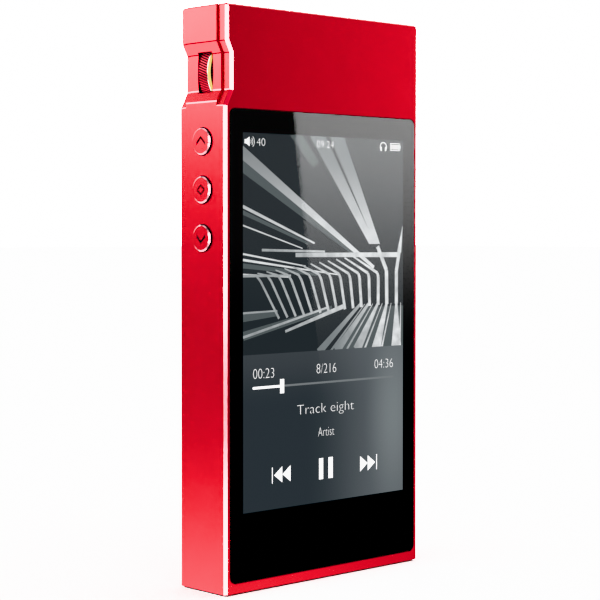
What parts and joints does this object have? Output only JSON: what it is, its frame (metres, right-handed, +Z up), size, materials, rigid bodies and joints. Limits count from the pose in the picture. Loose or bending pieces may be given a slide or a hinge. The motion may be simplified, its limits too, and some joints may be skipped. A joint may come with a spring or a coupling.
{
  "type": "digital audio player",
  "caption": "Pocket digital audio player that stands upright: touch screen under glass, edge volume wheel, side keys, power key, headphone, data and card sockets.",
  "frame": {"origin": "middle of the bottom face", "axes": "+Z up along the body, the screen faces -Y, and +X is to the right of the screen, so the volume wheel and keys are on the -X side"},
  "size_m": [0.0525, 0.0131, 0.1101],
  "materials": {
    "red_aluminium": "satin, blasted and anodised",
    "red_plastic": "satin",
    "black_glass": "gloss",
    "display_glass": "gloss",
    "white_film": "satin",
    "black_film": "matte",
    "white_nylon": "satin",
    "black_plastic": "satin",
    "clear_plastic": "gloss",
    "white_ceramic": "satin",
    "gold_plated_brass": "polished",
    "steel": "brushed",
    "black_steel": "blackened",
    "circuit_board": "solder mask",
    "amber_film": "satin",
    "chip_resin": "moulded",
    "capacitor_film": "satin",
    "battery_pouch": "foil",
    "white_tape": "matte",
    "wire_sleeve": "satin"
  },
  "bodies": {
    "player": {"housing": "red_aluminium", "rear_cover": "red_plastic", "cover_glass": "black_glass", "glass_adhesive": "black_film", "touch_sensor": "display_glass", "lcd_panel": "display_glass", "backlight": "white_film", "mid_plate": "steel", "track_switches": "black_plastic", "side_key_board": "circuit_board", "side_key_bracket": "steel", "side_key_flex": "amber_film", "power_switch": "black_plastic", "status_light_pipe": "clear_plastic", "status_led": "white_ceramic", "encoder_body": "black_plastic", "wheel_bracket": "steel", "wheel_bush": "white_nylon", "headphone_jack": "black_plastic", "jack_collar": "gold_plated_brass", "jack_contacts": "gold_plated_brass", "usb_shell": "steel", "usb_tongue": "black_plastic", "card_socket": "black_plastic", "card_socket_shell": "steel", "card_contacts": "gold_plated_brass", "main_board": "circuit_board", "bottom_board": "circuit_board", "board_flex": "amber_film", "display_flex": "amber_film", "processor": "chip_resin", "memory_chip": "chip_resin", "storage_chip": "chip_resin", "audio_converter": "chip_resin", "headphone_amplifier": "chip_resin", "power_manager": "chip_resin", "radio_module": "steel", "shield_can": "steel", "filter_capacitors": "capacitor_film", "crystals": "steel", "battery": "battery_pouch", "battery_tape": "white_tape", "battery_lead": "wire_sleeve", "battery_plug": "white_nylon", "board_screws": "steel", "plate_screws": "steel", "case_screws": "black_steel"},
    "volume_wheel": {"wheel_rim": "red_aluminium", "wheel_trim_ring": "gold_plated_brass", "wheel_hub": "black_plastic", "wheel_shaft": "steel", "encoder_rotor": "white_nylon"},
    "previous_key": {"previous_button": "red_aluminium", "previous_plunger": "white_nylon"},
    "play_key": {"play_button": "red_aluminium", "play_plunger": "white_nylon"},
    "next_key": {"next_button": "red_aluminium", "next_plunger": "white_nylon"},
    "power_key": {"power_button": "red_aluminium", "power_plunger": "white_nylon"}
  },
  "joints": [
    {"name": "volume_turn", "type": "hinge", "parent": "player", "child": "volume_wheel", "pos_m": [-0.01855, 0.0004, 0.09719], "axis": [0, 1, 0], "continuous": true},
    {"name": "previous_press", "type": "slide", "parent": "player", "child": "previous_key", "axis": [1, 0, 0], "range_m": [0, 0.0003], "stiffness_N_per_m": 900, "springref_m": -0.001},
    {"name": "play_press", "type": "slide", "parent": "player", "child": "play_key", "axis": [1, 0, 0], "range_m": [0, 0.0003], "stiffness_N_per_m": 900, "springref_m": -0.001},
    {"name": "next_press", "type": "slide", "parent": "player", "child": "next_key", "axis": [1, 0, 0], "range_m": [0, 0.0003], "stiffness_N_per_m": 900, "springref_m": -0.001},
    {"name": "power_press", "type": "slide", "parent": "player", "child": "power_key", "axis": [0, 0, -1], "range_m": [0, 0.00025], "stiffness_N_per_m": 900, "springref_m": -0.001}
  ]
}
